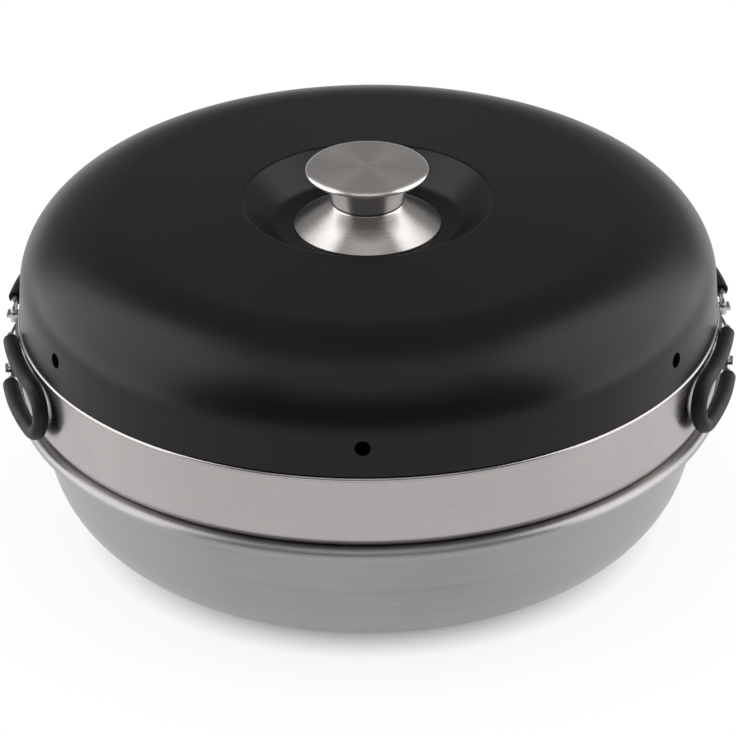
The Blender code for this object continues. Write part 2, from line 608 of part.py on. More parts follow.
def make_brackets(finishes, frame):
    for side_name, side in (("left", -1), ("right", 1)):
        plate = bent_round_wall(bracket_outline(), HANDLE_HINGE_OFFSET + LUG_HALF_WIDTH, side)
        bracket = add_object(f"handle_bracket_{side_name}", plate, finishes["wire_steel"], frame)
        gap = bent_round_wall(lug_gap_outline(), HANDLE_HINGE_OFFSET - LUG_HALF_WIDTH, side)
        cut(bracket, gap, f"lug_gap_cutter_{side_name}")
        holes = bmesh.new()
        for lean_name, lean in (("front", -1), ("rear", 1)):
            axis = polar(HINGE_RADIUS, wall_angle(side, lean, HINGE_ANGLE), -MOULD_LEDGE)
            low = axis + Vector((0, 0, BRACKET_BOTTOM - CUT_OVERRUN))
            add_rod(holes, low, axis + Vector((0, 0, BRACKET_TOP + CUT_OVERRUN)), HINGE_HOLE_RADIUS)
            angle = wall_angle(side, lean, RIVET_OFFSET / MOULD_RADIUS)
            add_rod(holes, polar(BRACKET_BACK - CUT_OVERRUN, angle, RIVET_HEIGHT - MOULD_LEDGE),
                    polar(BRACKET_FRONT + CUT_OVERRUN, angle, RIVET_HEIGHT - MOULD_LEDGE), RIVET_HOLE_RADIUS)
            rivet_body = turned(rivet_outline(), SMALL_SEGMENTS)
            rivet = add_object(f"bracket_rivet_{side_name}_{lean_name}", rivet_body,
                               finishes["rivet_metal"], frame)
            rivet.location = (0, 0, RIVET_HEIGHT - MOULD_LEDGE)
            rivet.rotation_euler = (0, math.pi / 2, angle)
        cut(bracket, holes, f"bracket_hole_cutter_{side_name}")


def rivet_outline():
    """A rivet through bracket and wall, along its own axis: a domed head outside, a flat one inside."""
    front = BRACKET_FRONT + TOUCH_GAP
    back = (MOULD_RADIUS - MOULD_SHEET) * math.cos(math.pi / SHELL_SEGMENTS) - TOUCH_GAP
    crown = RIVET_HEAD_RADIUS / 2
    return [(0, back - RIVET_HEAD_HEIGHT), (RIVET_HEAD_RADIUS, back - RIVET_HEAD_HEIGHT),
            (RIVET_HEAD_RADIUS, back), (RIVET_SHANK_RADIUS, back), (RIVET_SHANK_RADIUS, front),
            (RIVET_HEAD_RADIUS, front), (crown, front + RIVET_HEAD_HEIGHT), (0, front + RIVET_HEAD_HEIGHT)]


def main():
    for old in list(bpy.data.objects):
        bpy.data.objects.remove(old)
    finishes = {
        "base_steel": material("base_steel", (0.42, 0.40, 0.38), 0.32, 1.0),
        "ring_steel": material("ring_steel", (0.47, 0.45, 0.43), 0.30, 1.0),
        "knob_steel": material("knob_steel", (0.55, 0.53, 0.51), 0.18, 1.0),
        "wire_steel": material("wire_steel", (0.50, 0.49, 0.48), 0.25, 1.0),
        "rivet_metal": material("rivet_metal", (0.60, 0.60, 0.60), 0.35, 1.0),
        "lid_coating": material("lid_coating", (0.02, 0.02, 0.021), 0.38, 0.0),
        "silicone": material("silicone", (0.012, 0.012, 0.012), 0.55, 0.0),
    }
    make_base(finishes["base_steel"])
    mould_frame = add_empty("mould_frame", (0, 0, MOULD_LEDGE))
    lid_frame = add_empty("lid_frame", (0, 0, LID_BOTTOM), mould_frame)
    make_mould(finishes["ring_steel"], mould_frame)
    make_brackets(finishes, mould_frame)
    make_handles(finishes, mould_frame)
    make_lid(finishes["lid_coating"], lid_frame)
    make_knob(finishes, lid_frame)


main()
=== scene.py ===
"""Camp oven, finished: a steel pan and ring mould, a black coated lid, a flared knob and folding handles.

Every piece is built in its place round the packed model: metres, +Z up, the front towards -Y. Run as a
script, it makes the pieces, the studio and the camera, one operator after another.
"""
import math
from types import SimpleNamespace

import bmesh
import bpy
from bpy.props import FloatProperty, FloatVectorProperty, IntProperty, PointerProperty
from mathutils import Matrix, Vector


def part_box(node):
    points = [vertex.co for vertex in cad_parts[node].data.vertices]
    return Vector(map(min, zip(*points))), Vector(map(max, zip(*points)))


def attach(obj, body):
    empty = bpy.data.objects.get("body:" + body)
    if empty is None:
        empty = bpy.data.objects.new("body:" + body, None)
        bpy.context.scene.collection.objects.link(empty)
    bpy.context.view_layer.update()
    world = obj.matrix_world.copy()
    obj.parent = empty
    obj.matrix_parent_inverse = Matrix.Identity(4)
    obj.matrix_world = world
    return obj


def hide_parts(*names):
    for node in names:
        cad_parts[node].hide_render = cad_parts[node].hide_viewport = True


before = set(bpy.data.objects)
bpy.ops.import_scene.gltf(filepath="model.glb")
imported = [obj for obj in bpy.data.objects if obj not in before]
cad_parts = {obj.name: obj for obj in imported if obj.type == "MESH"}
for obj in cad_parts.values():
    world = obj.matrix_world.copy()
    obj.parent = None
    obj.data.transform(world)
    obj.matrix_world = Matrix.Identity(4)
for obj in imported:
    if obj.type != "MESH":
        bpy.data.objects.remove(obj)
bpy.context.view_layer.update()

bl_info = {
    "name": "Camp Oven",
    "version": (1, 0, 0),
    "blender": (4, 5, 0),
    "location": "View3D > Sidebar > Camp Oven",
    "description": "Builds the finished pieces of a camp oven round its packed model",
    "category": "Add Mesh",
}

MM = 0.001
SIDES = (("left", -1), ("right", 1))
LEANS = (("front", -1), ("rear", 1))

# Clearances
TOUCH_GAP = 0.3 * MM
CUT_OVERRUN = 2.0 * MM
MERGE_DISTANCE = 0.002 * MM

# Smoothness
SHELL_SEGMENTS = 240
KNOB_SEGMENTS = 128
SMALL_SEGMENTS = 32
SLEEVE_SIDES = 24
WIRE_SIDES = 16
ARC_STEP = math.radians(6)
CURVE_STEPS = 24
BRACKET_STEPS = 24
PATH_STEP = 2.5 * MM
SHARP_ANGLE = math.radians(35)

# Sizes read from the packed model
PAN_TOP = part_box("base_pan")[1].z
RING_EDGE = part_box("baking_ring")[1].x
RING_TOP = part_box("baking_ring")[1].z
LID_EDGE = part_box("lid_shell")[1].x
DISC_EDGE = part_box("knob_cap")[1].x
BELL_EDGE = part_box("knob_bell")[1].x
RING_STANDOUT = 0.4 * MM


# Settings

def size(label, text, value):
    """A length, kept in metres."""
    return FloatProperty(name=label, description=text, default=value, precision=5, subtype="DISTANCE", unit="LENGTH")


def turn(label, text, degrees):
    """An angle, given in degrees and kept in radians."""
    return FloatProperty(name=label, description=text, default=math.radians(degrees), subtype="ANGLE")


def share(label, text, value):
    """A number between nothing and all."""
    return FloatProperty(name=label, description=text, default=value, min=0.0, max=1.0, subtype="FACTOR")


def colour(label, text, value):
    """A colour as light reflects from it, without the display's curve."""
    return FloatVectorProperty(name=label, description=text, default=value, size=3, min=0.0, max=1.0, subtype="COLOR")


class PanSettings(bpy.types.PropertyGroup):
    """Sizes of the steel base pan."""
    sheet: size("Sheet", "Thickness of the pan's steel", 1.0 * MM)
    height: size("Height", "Top of the rolled rim above the floor", PAN_TOP)
    setback: size("Setback", "How far the wall's top lies inside the ring mould's band", 3.65 * MM)
    taper: turn("Taper", "Lean of the wall from upright", 13.3)
    corner: size("Corner", "Radius between the wall and the floor", 42.8 * MM)
    rim: size("Rim", "Radius of the rolled rim", 2.6 * MM)
    overhang: size("Overhang", "How far the middle of the rim's roll stands out from the wall", 3.3 * MM)
    seat: size("Seat", "Radius of the inner edge that carries the ring mould", 3.0 * MM)
    collar_radius: size("Collar radius", "Radius of the flame opening", 36.0 * MM)
    collar_height: size("Collar height", "Height of the collar round the flame opening", 15.0 * MM)
    collar_run: size("Collar run", "How far the collar's slope reaches outwards", 17.0 * MM)
    collar_corner: size("Collar corner", "Radius at the collar's foot", 6.0 * MM)


class MouldSettings(bpy.types.PropertyGroup):
    """Sizes of the ring mould."""
    sheet: size("Sheet", "Thickness of the mould's steel", 1.2 * MM)
    radius: size("Radius", "Outer radius of the upright band", RING_EDGE - RING_STANDOUT)
    bead: size("Bead", "Radius of the bead along the top edge", 0.9 * MM)
    standout: size("Standout", "How far the bead stands out from the band", RING_STANDOUT)
    top: size("Top", "Top edge above the floor", RING_TOP)
    shoulder: size("Shoulder", "Radius where the band turns in onto the pan", 6.0 * MM)
    ledge: size("Ledge", "Width of the ledge that rests on the pan", 10.6 * MM)
    ledge_corner: size("Ledge corner", "Radius where the ledge turns down", 3.0 * MM)
    taper: turn("Taper", "Lean of the trough's wall", 12.0)
    corner: size("Corner", "Radius at the trough's foot", 18.0 * MM)
    floor: size("Floor", "Trough's underside above the floor", 22.0 * MM)
    chimney_foot: size("Chimney foot", "Radius of the chimney at its foot", 38.0 * MM)
    chimney_corner: size("Chimney corner", "Radius at the chimney's foot", 9.0 * MM)
    chimney_mouth: size("Chimney mouth", "Radius of the chimney at its top", 20.0 * MM)
    chimney_top: size("Chimney top", "Top of the chimney above the floor", 79.0 * MM)


class LidSettings(bpy.types.PropertyGroup):
    """Sizes of the coated lid."""
    sheet: size("Sheet", "Thickness of the lid's metal", 1.5 * MM)
    foot: size("Foot", "Outer radius of the skirt's foot", LID_EDGE)
    draft: size("Draft", "How much the skirt draws in towards its top", 0.9 * MM)
    skirt: size("Skirt", "Height of the upright skirt", 13.9 * MM)
    shoulder_run: size("Shoulder run", "How far the round shoulder reaches inwards", 43.0 * MM)
    shoulder_rise: size("Shoulder rise", "Height of the round shoulder", 32.3 * MM)
    crown_rise: size("Crown rise", "Rise of the crown from the shoulder to the recess", 1.7 * MM)
    lip_clearance: size("Lip clearance", "Gap between the lid's lip and the mould's wall", 0.4 * MM)
    lip_depth: size("Lip depth", "How far the lip reaches down into the mould", 4.0 * MM)
    edge_roll: size("Edge roll", "Radius of the skirt's lower edge", 0.6 * MM)
    recess_radius: size("Recess radius", "Radius of the recess at the crown", 50.2 * MM)
    recess_depth: size("Recess depth", "Depth of the recess below the crown", 11.4 * MM)
    recess_edge: size("Recess edge", "Radius of the recess's upper edge", 2.2 * MM)
    recess_floor: size("Recess floor", "Radius where the recess's slope meets its floor", 36.0 * MM)
    recess_corner: size("Recess corner", "Radius between the slope and the floor", 9.0 * MM)
    vents: IntProperty(name="Vents", description="Number of vent holes round the skirt", default=6, min=1)
    vent_radius: size("Vent radius", "Radius of a vent hole", 3.1 * MM)
    vent_drop: size("Vent drop", "Vent's middle below the top of the skirt", 1.6 * MM)
    vent_turn: turn("Vent turn", "Turn of the first vent from the front", -1.15)


class KnobSettings(bpy.types.PropertyGroup):
    """Sizes of the knob."""
    bell_radius: size("Bell radius", "Radius of the bell's foot", BELL_EDGE)
    bell_height: size("Bell height", "Height of the bell", 10.0 * MM)
    bell_sheet: size("Bell sheet", "Thickness of the bell", 0.9 * MM)
    bell_neck: size("Bell neck", "Radius of the bell at its top", 14.3 * MM)
    bell_edge: size("Bell edge", "Height of the upright edge at the bell's foot", 0.6 * MM)
    bell_cone: share("Bell cone", "How much of the flare is a straight cone", 0.9)
    neck_foot: size("Neck foot", "Radius of the neck at its foot", 14.3 * MM)
    neck_top: size("Neck top", "Radius of the neck at its top", 16.0 * MM)
    neck_height: size("Neck height", "Height of the neck", 12.5 * MM)
    neck_fillet: size("Neck fillet", "Radius between the neck and the disc", 1.0 * MM)
    groove_height: size("Groove height", "Height of the groove at the neck's foot", 0.6 * MM)
    groove_depth: size("Groove depth", "Depth of the groove at the neck's foot", 0.8 * MM)
    disc_radius: size("Disc radius", "Outer radius of the disc", DISC_EDGE)
    disc_rim: size("Disc rim", "Radius of the disc's lower edge", 1.05 * MM)
    border_width: size("Border width", "Width of the disc's rounded border", 3.0 * MM)
    border_drop: size("Border drop", "How far the disc's border drops outwards", 1.6 * MM)
    wall: size("Wall", "Thickness of the grip's wall", 1.4 * MM)
    stem: size("Stem", "Radius of the core's foot inside the bell", 6.0 * MM)
    screw: size("Screw", "Radius of the screw that holds the knob", 2.2 * MM)


class HandleSettings(bpy.types.PropertyGroup):
    """Sizes of the folding handles, their brackets and rivets."""
    radius: size("Radius", "Distance of the folded upper wire from the middle", 144.35 * MM)
    splay: size("Splay", "How much further out the lower wire stands", 1.0 * MM)
    hinge_offset: size("Hinge offset", "Each hinge's distance from the handles' middle", 12.0 * MM)
    reach: size("Reach", "Length of a handle along the mould", 55.3 * MM)
    upper: size("Upper height", "Upper wire above the floor", 88.3 * MM)
    loop: size("Loop height", "Height of the handle's loop", 19.7 * MM)
    wire: size("Wire", "Radius of the wire", 1.5 * MM)
    bend: size("Bend", "Radius of the wire's bend at the hinge", 3.0 * MM)
    stub: size("Stub", "Length of wire that stands in the lug", 7.2 * MM)
    sleeve: size("Sleeve", "Radius of the sleeve", 3.2 * MM)
    setback: size("Setback", "Where the sleeve starts from the hinge", 6.5 * MM)
    sleeve_edge: size("Sleeve edge", "Rounding of the sleeve's ends", 0.5 * MM)
    bracket_sheet: size("Bracket sheet", "Thickness of the brackets", 1.2 * MM)
    bracket_edge: size("Bracket edge", "Rounding of the brackets' edges", 0.2 * MM)
    lug_wall: size("Lug wall", "Metal round a hinge hole", 0.9 * MM)
    rivet_offset: size("Rivet offset", "Each rivet's distance from the bracket's middle", 4.2 * MM)
    rivet_shank: size("Rivet shank", "Radius of a rivet's shank", 1.5 * MM)
    rivet_head: size("Rivet head", "Radius of a rivet's head", 2.8 * MM)
    rivet_rise: size("Rivet rise", "Height of a rivet's head", 1.4 * MM)


class FinishSettings(bpy.types.PropertyGroup):
    """Colours and textures of the surfaces."""
    pan_steel: colour("Pan steel", "Satin steel of the base pan", (0.35, 0.342, 0.338))
    ring_steel: colour("Ring steel", "Satin steel of the ring mould", (0.43, 0.405, 0.40))
    knob_steel: colour("Knob steel", "Polished steel of the knob", (0.61, 0.58, 0.56))
    wire_steel: colour("Wire steel", "Steel of the wires, brackets and screw", (0.50, 0.49, 0.48))
    rivet_metal: colour("Rivet metal", "Light metal of the rivets", (0.60, 0.60, 0.59))
    coating: colour("Coating", "Black coating of the lid", (0.0034, 0.0034, 0.0040))
    silicone: colour("Silicone", "Black silicone of the sleeves and the gasket", (0.005, 0.005, 0.005))
    pan_roughness: share("Pan roughness", "Roughness of the base pan's steel", 0.42)
    ring_roughness: share("Ring roughness", "Roughness of the ring mould's steel", 0.28)
    knob_roughness: share("Knob roughness", "Roughness of the knob's steel", 0.29)
    neck_roughness: share("Neck roughness", "Roughness of the knob's turned neck", 0.42)
    brush_stretch: share("Brush stretch", "How far brushing draws out a highlight", 0.75)
    neck_stretch: share("Neck stretch", "How far the neck's turning marks draw out a highlight", 0.95)
    coating_roughness: share("Coating roughness", "Roughness of the lid's coating", 0.33)
    coating_gloss: share("Coating gloss", "Strength of the coating's mirror light", 0.25)
    silicone_gloss: share("Silicone gloss", "Strength of the silicone's mirror light", 0.3)
    brush_spacing: size("Brush spacing", "Distance between the finest brushing lines", 0.25 * MM)
    brush_depth: size("Brush depth", "Depth of the brushing lines", 0.0025 * MM)
    grain: size("Grain", "Size of the coating's grain", 0.45 * MM)
    grain_depth: size("Grain depth", "Depth of the coating's grain", 0.012 * MM)


class StudioSettings(bpy.types.PropertyGroup):
    """The camera, the lamps and the floor."""
    distance: size("Camera distance", "From the camera to the point it aims at", 2.0782)
    elevation: turn("Camera elevation", "Camera's height as an angle", 28.55)
    roll: turn("Camera roll", "Turn of the camera about its line of sight", 0.607)
    aim_height: size("Aim height", "Height of the point that the camera aims at", 64.04 * MM)
    aim_side: size("Aim side", "Sideways place of the point that the camera aims at", -0.46 * MM)
    lens: FloatProperty(name="Lens", description="Focal length in millimetres", default=250.63,
                        subtype="DISTANCE_CAMERA")
    box_width: size("Softbox width", "Width of each side softbox", 1.3)
    box_height: size("Softbox height", "Height of each side softbox", 2.2)
    box_distance: size("Softbox distance", "From each side softbox to the oven", 0.95)
    box_turn: turn("Softbox turn", "Side softboxes' turn towards the rear", 5.0)
    box_power: FloatProperty(name="Softbox power", description="Power of each side softbox in watts",
                             default=19.0, subtype="POWER", unit="POWER")
    top_width: size("Top panel width", "Width of the panel over the front", 1.0)
    top_depth: size("Top panel depth", "Depth of the panel over the front", 1.1)
    top_height: size("Top panel height", "Height of the panel over the front", 1.3)
    top_lean: turn("Top panel lean", "How far the panel stands to the front of upright", 21.0)
    top_power: FloatProperty(name="Top panel power", description="Power of the panel over the front in watts",
                             default=2.9, subtype="POWER", unit="POWER")
    front: colour("Front", "The studio's light from the camera's side", (0.12, 0.12, 0.12))
    horizon: colour("Horizon", "The studio's light from the rear", (0.29, 0.29, 0.29))
    overhead: colour("Overhead", "The studio's light from above", (0.22, 0.22, 0.22))
    floor: colour("Floor", "Colour of the floor", (0.95, 0.95, 0.95))
    floor_reach: size("Floor reach", "Radius of the floor", 14.0)
    # painted shade: the floor's own white is taken away round the oven's foot, so the floor there is darker than
    # further out, on top of the oven's real shadow
    contact_start: size("Contact start", "Where the floor's own white begins, from the middle", 94.0 * MM)
    contact_end: size("Contact end", "Where the floor's own white is at its near level", 120.0 * MM)
    near_white: share("Near white", "The floor's own white near the oven", 0.87)
    far_start: size("Far start", "Where the floor's own white begins to reach its full level", 120.0 * MM)
    far_end: size("Far end", "Where the floor's own white is full", 190.0 * MM)


class OvenSettings(bpy.types.PropertyGroup):
    """All sizes and colours of the camp oven."""
    pan: PointerProperty(type=PanSettings)
    mould: PointerProperty(type=MouldSettings)
    lid: PointerProperty(type=LidSettings)
    knob: PointerProperty(type=KnobSettings)
    handle: PointerProperty(type=HandleSettings)
    finish: PointerProperty(type=FinishSettings)
    studio: PointerProperty(type=StudioSettings)


def places(s):
    """Radii and heights at which the pieces meet, worked out from the sizes."""
    p = SimpleNamespace()
    p.pan_wall = s.mould.radius - s.pan.setback
    p.rim_centre = (p.pan_wall + s.pan.overhang, s.pan.height - s.pan.rim)
    neck = p.pan_wall - s.pan.rim * math.tan(s.pan.taper)
    p.seat_centre = (neck - s.pan.sheet / math.cos(s.pan.taper) + s.pan.seat, s.pan.height - s.pan.seat)
    run = p.seat_centre[0] - (s.mould.radius - s.mould.shoulder)
    reach = s.pan.seat + s.mould.shoulder + TOUCH_GAP
    p.ledge = p.seat_centre[1] + math.sqrt(reach ** 2 - run ** 2) - s.mould.shoulder
    p.bead_centre = (s.mould.radius + s.mould.standout - s.mould.bead, s.mould.top - s.mould.bead)
    p.lip_radius = p.bead_centre[0] - s.mould.bead - s.lid.lip_clearance
    p.skirt_radius = s.lid.foot - s.lid.draft
    p.lid_bottom = s.mould.top + TOUCH_GAP
    p.skirt_top = p.lid_bottom + s.lid.skirt
    p.crown = p.skirt_top + s.lid.shoulder_rise + s.lid.crown_rise
    p.recess_floor = p.crown - s.lid.recess_depth
    p.bell_foot = p.recess_floor + TOUCH_GAP
    p.bell_top = p.bell_foot + s.knob.bell_height
    p.cap_foot = p.bell_top + TOUCH_GAP
    p.stem_hole = s.knob.stem + TOUCH_GAP
    p.screw_hole = s.knob.screw + TOUCH_GAP
    p.lower = s.handle.upper - s.handle.loop
    p.bracket_top = s.handle.upper - s.handle.bend - TOUCH_GAP
    p.bracket_bottom = p.lower + s.handle.bend + TOUCH_GAP
    p.bracket_back = s.mould.radius + TOUCH_GAP
    p.bracket_front = p.bracket_back + s.handle.bracket_sheet
    p.hinge_hole = s.handle.wire + TOUCH_GAP
    p.hinge_radius = p.bracket_front + TOUCH_GAP + p.hinge_hole
    p.hinge_angle = math.asin(s.handle.hinge_offset / p.hinge_radius)
    p.lug_half = p.hinge_hole + s.handle.lug_wall
    p.lug_end = p.hinge_radius + p.lug_half
    p.rivet_height = (p.bracket_top + p.bracket_bottom) / 2
    p.rivet_hole = s.handle.rivet_shank + TOUCH_GAP
    return p


# Outlines: lists of (radius, height) points

def arc(centre, radius, start, end):
    """Points of a circular arc from one angle to another, both ends included."""
    count = max(4, math.ceil(abs(end - start) / ARC_STEP))
    angles = [start + (end - start) * i / count for i in range(count + 1)]
    return [(centre[0] + radius * math.cos(a), centre[1] + radius * math.sin(a)) for a in angles]


def filleted(corners):
    """A path through (radius, height, fillet) corners, each inner corner rounded to its fillet."""
    path = [Vector(corners[0][:2])]
    for before, corner, after in zip(corners, corners[1:], corners[2:]):
        point = Vector(corner[:2])
        back = (Vector(before[:2]) - point).normalized()
        ahead = (Vector(after[:2]) - point).normalized()
        fillet = corner[2]
        if fillet == 0:
            path.append(point)
            continue
        half = back.angle(ahead) / 2
        centre = point + (back + ahead).normalized() * fillet / math.sin(half)
        first = point + back * fillet / math.tan(half) - centre
        sweep = math.copysign(math.pi - 2 * half, ahead.cross(back))
        count = max(4, math.ceil(abs(sweep) / ARC_STEP))
        path += [centre + Matrix.Rotation(sweep * i / count, 2) @ first for i in range(count + 1)]
    path.append(Vector(corners[-1][:2]))
    apart = [point for before, point in zip(path, path[1:]) if (point - before).length > MERGE_DISTANCE]
    return [tuple(point) for point in path[:1] + apart]


def offset(path, distance):
    """The path moved sideways: to its left for a positive distance, to its right for a negative one."""
    points = [Vector(point) for point in path]
    moved = []
    for i, point in enumerate(points):
        into = (point - points[i - 1]).normalized() if i > 0 else None
        out = (points[i + 1] - point).normalized() if i < len(points) - 1 else None
        into = into or out
        out = out or into
        left = Vector((-(into.y + out.y), into.x + out.x)).normalized()
        moved.append(tuple(point + left * distance / left.dot(Vector((-into.y, into.x)))))
    return moved


def pan_outline(s, p):
    """Sheet pan with a rolled rim, a wide rounded corner and a raised collar for the flame."""
    wall_foot = p.pan_wall - s.pan.height * math.tan(s.pan.taper)
    wall_top = p.rim_centre[1] - s.pan.rim
    skin = filleted([
        (p.pan_wall - (s.pan.height - wall_top) * math.tan(s.pan.taper), wall_top, 0),
        (wall_foot, 0, s.pan.corner),
        (s.pan.collar_radius + s.pan.collar_run, 0, s.pan.collar_corner),
        (s.pan.collar_radius, s.pan.collar_height, 0),
    ])
    seat = arc(p.seat_centre, s.pan.seat, math.pi, math.pi / 2)
    rim = arc(p.rim_centre, s.pan.rim, math.pi / 2, -math.pi / 2)
    return skin + offset(skin, -s.pan.sheet)[::-1] + seat + rim


def mould_outline(s, p):
    """Ring trough hung by a rounded shoulder on the base pan's rim, with a chimney in its middle."""
    m = s.mould
    ledge_end = m.radius - m.ledge
    trough_foot = ledge_end - (p.ledge - m.floor) * math.tan(m.taper)
    skin = filleted([
        (m.radius, p.bead_centre[1] - m.bead, 0),
        (m.radius, p.ledge, m.shoulder),
        (ledge_end, p.ledge, m.ledge_corner),
        (trough_foot, m.floor, m.corner),
        (m.chimney_foot, m.floor, m.chimney_corner),
        (m.chimney_mouth, m.chimney_top, 0),
    ])
    bead = arc(p.bead_centre, m.bead, math.pi, -math.acos(1 - m.standout / m.bead))
    return skin + offset(skin, -m.sheet)[::-1] + bead


def lid_outline(s, p):
    """Lip, rolled lower edge, skirt, elliptical shoulder, nearly flat crown and a dished recess."""
    lid = s.lid
    shoulder = []
    for i in range(2 * CURVE_STEPS + 1):
        a = math.pi / 2 * i / (2 * CURVE_STEPS)
        shoulder.append((p.skirt_radius - lid.shoulder_run * (1 - math.cos(a)),
                         p.skirt_top + lid.shoulder_rise * math.sin(a)))
    recess = filleted([
        (*shoulder[-1], 0),
        (lid.recess_radius, p.crown, lid.recess_edge),
        (lid.recess_floor, p.recess_floor, lid.recess_corner),
        (p.screw_hole, p.recess_floor, 0),
    ])
    above = shoulder + recess[1:]
    lip = [(p.lip_radius, p.lid_bottom - lid.lip_depth), (p.lip_radius, p.lid_bottom), (lid.foot, p.lid_bottom)]
    rolled = filleted([(*lip[0], 0), (*lip[1], lid.edge_roll), (*lip[2], lid.edge_roll), (*above[0], 0)])
    return rolled[:-1] + above + offset(lip + above, lid.sheet)[::-1]


def bell_outline(s, p):
    """Flared escutcheon: a thin steel bell that widens down to the recess floor."""
    k = s.knob
    rise = k.bell_height - k.bell_edge
    run = k.bell_radius - k.bell_neck
    flare = []
    for i in range(CURVE_STEPS + 1):
        a = math.pi / 2 * i / CURVE_STEPS
        across = math.sin(a)
        up = k.bell_cone * across + (1 - k.bell_cone) * (1 - math.cos(a))
        flare.append((k.bell_radius - run * across, p.bell_top - rise * (1 - up)))
    skin = [(k.bell_radius, p.bell_foot)] + flare + [(p.stem_hole, p.bell_top)]
    return skin + offset(skin, k.bell_sheet)[::-1]


def cap_outline(s, p):
    """Grip: a flat disc on a neck that narrows down to a small groove at its foot, hollow from below."""
    k = s.knob
    groove_radius = k.neck_foot - k.groove_depth
    groove_top = p.cap_foot + k.groove_height
    neck_top = p.cap_foot + k.neck_height
    rim_centre = (k.disc_radius - k.disc_rim, neck_top + k.disc_rim)
    neck = filleted([
        (groove_radius, p.cap_foot, 0),
        (groove_radius, groove_top, 0),
        (k.neck_foot, groove_top, 0),
        (k.neck_top, neck_top, k.neck_fillet),
        (rim_centre[0], neck_top, 0),
    ])
    rim = arc(rim_centre, k.disc_rim, -math.pi / 2, 0)
    border = []
    for i in range(1, CURVE_STEPS + 1):
        a = math.pi / 2 * i / CURVE_STEPS
        border.append((k.disc_radius - k.border_width * (1 - math.cos(a)),
                       rim_centre[1] + k.border_drop * math.sin(a)))
    face = rim_centre[1] + k.border_drop
    inner = [(0, face - k.wall), (k.neck_foot - k.wall, face - k.wall), (k.neck_foot - k.wall, p.cap_foot)]
    return neck[:-1] + rim + border + [(0, face)] + inner


def rivet_outline(s, p):
    """A rivet through bracket and wall, along its own axis: a domed head outside, a flat one inside."""
    h = s.handle
    front = p.bracket_front + TOUCH_GAP
    back = s.mould.radius - s.mould.sheet - TOUCH_GAP
    dome = [(h.rivet_head * math.cos(a), front + h.rivet_rise * math.sin(a))
            for a in [math.pi / 2 * i / CURVE_STEPS for i in range(CURVE_STEPS + 1)]]
    return [(0, back - h.rivet_rise), (h.rivet_head, back - h.rivet_rise), (h.rivet_head, back),
            (h.rivet_shank, back), (h.rivet_shank, front)] + dome[:-1] + [(0, front + h.rivet_rise)]


# Meshes

def turned(outline, segments):
    """A closed outline of (radius, height) points turned once round the Z axis."""
    bm = bmesh.new()
    verts = [bm.verts.new((r, 0, z)) for r, z in outline]
    edges = [bm.edges.new((verts[i - 1], verts[i])) for i in range(len(verts))
             if max(outline[i - 1][0], outline[i][0]) > 0]
    bmesh.ops.spin(bm, geom=edges, axis=(0, 0, 1), cent=(0, 0, 0), angle=math.tau, steps=segments,
                   use_merge=True, use_duplicate=False)
    bmesh.ops.remove_doubles(bm, verts=bm.verts, dist=MERGE_DISTANCE)
    return bm


def swept_rings(rings, closed_loop=False):
    """A skin over rings of equally many points; open ends are capped, a closed loop is joined."""
    bm = bmesh.new()
    rows = [[bm.verts.new(point) for point in ring] for ring in rings]
    pairs = list(zip(rows, rows[1:]))
    if closed_loop:
        pairs.append((rows[-1], rows[0]))
    for row, following in pairs:
        for i in range(len(row)):
            bm.faces.new((row[i - 1], row[i], following[i], following[i - 1]))
    if not closed_loop:
        bm.faces.new(rows[0])
        bm.faces.new(rows[-1])
    return bm


def add_rod(bm, start, end, radius):
    """A plain round rod between two points, for a cutter."""
    axis = Vector(end) - Vector(start)
    turned_to = axis.to_track_quat("Z", "Y").to_matrix().to_4x4()
    place = Matrix.Translation((Vector(start) + Vector(end)) / 2) @ turned_to
    bmesh.ops.create_cone(bm, cap_ends=True, segments=SMALL_SEGMENTS, radius1=radius, radius2=radius,
                          depth=axis.length, matrix=place)


def polar(radius, angle, height):
    return Vector((radius * math.cos(angle), radius * math.sin(angle), height))


def wall_angle(side, lean, turned_by):
    """The angle round Z of a place on the left or right wall, turned towards the front or the rear."""
    return lean * turned_by if side > 0 else math.pi - lean * turned_by


def add_piece(name, bm, finish=None):
    """A named object from a closed bmesh, smooth where it is round, in place of one made before."""
    if name in bpy.data.objects:
        bpy.data.objects.remove(bpy.data.objects[name])
    bmesh.ops.recalc_face_normals(bm, faces=bm.faces)
    mesh = bpy.data.meshes.new(name)
    bm.to_mesh(mesh)
    bm.free()
    mesh.shade_smooth()
    mesh.set_sharp_from_angle(angle=SHARP_ANGLE)
    piece = bpy.data.objects.new(name, mesh)
    bpy.context.scene.collection.objects.link(piece)
    if finish:
        mesh.materials.append(finish)
    return piece


def cut(piece, cutter_mesh):
    """Cut the piece's mesh by a cutter and keep the cut edges sharp."""
    cutter = add_piece("cutter", cutter_mesh)
    modifier = piece.modifiers.new("cut", "BOOLEAN")
    modifier.operation = "DIFFERENCE"
    modifier.object = cutter
    seen = piece.evaluated_get(bpy.context.evaluated_depsgraph_get())
    mesh = bpy.data.meshes.new_from_object(seen)
    piece.modifiers.clear()
    piece.data = mesh
    mesh.set_sharp_from_angle(angle=SHARP_ANGLE)
    bpy.data.objects.remove(cutter)


def even_shading(piece):
    piece.modifiers.new("even shading", "WEIGHTED_NORMAL").keep_sharp = True


def soften(piece, width):
    """Round the piece's sharp edges a little, as pressing or moulding leaves them."""
    bevel = piece.modifiers.new("soft edges", "BEVEL")
    bevel.width = width
    bevel.segments = 3
    bevel.limit_method = "ANGLE"
    bevel.angle_limit = SHARP_ANGLE
    bevel.harden_normals = True


def seat(piece, body, slot, *nodes):
    """Let the piece ride on its body and stand for the packed model's nodes."""
    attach(piece, body)
    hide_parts(*nodes)


# Finishes

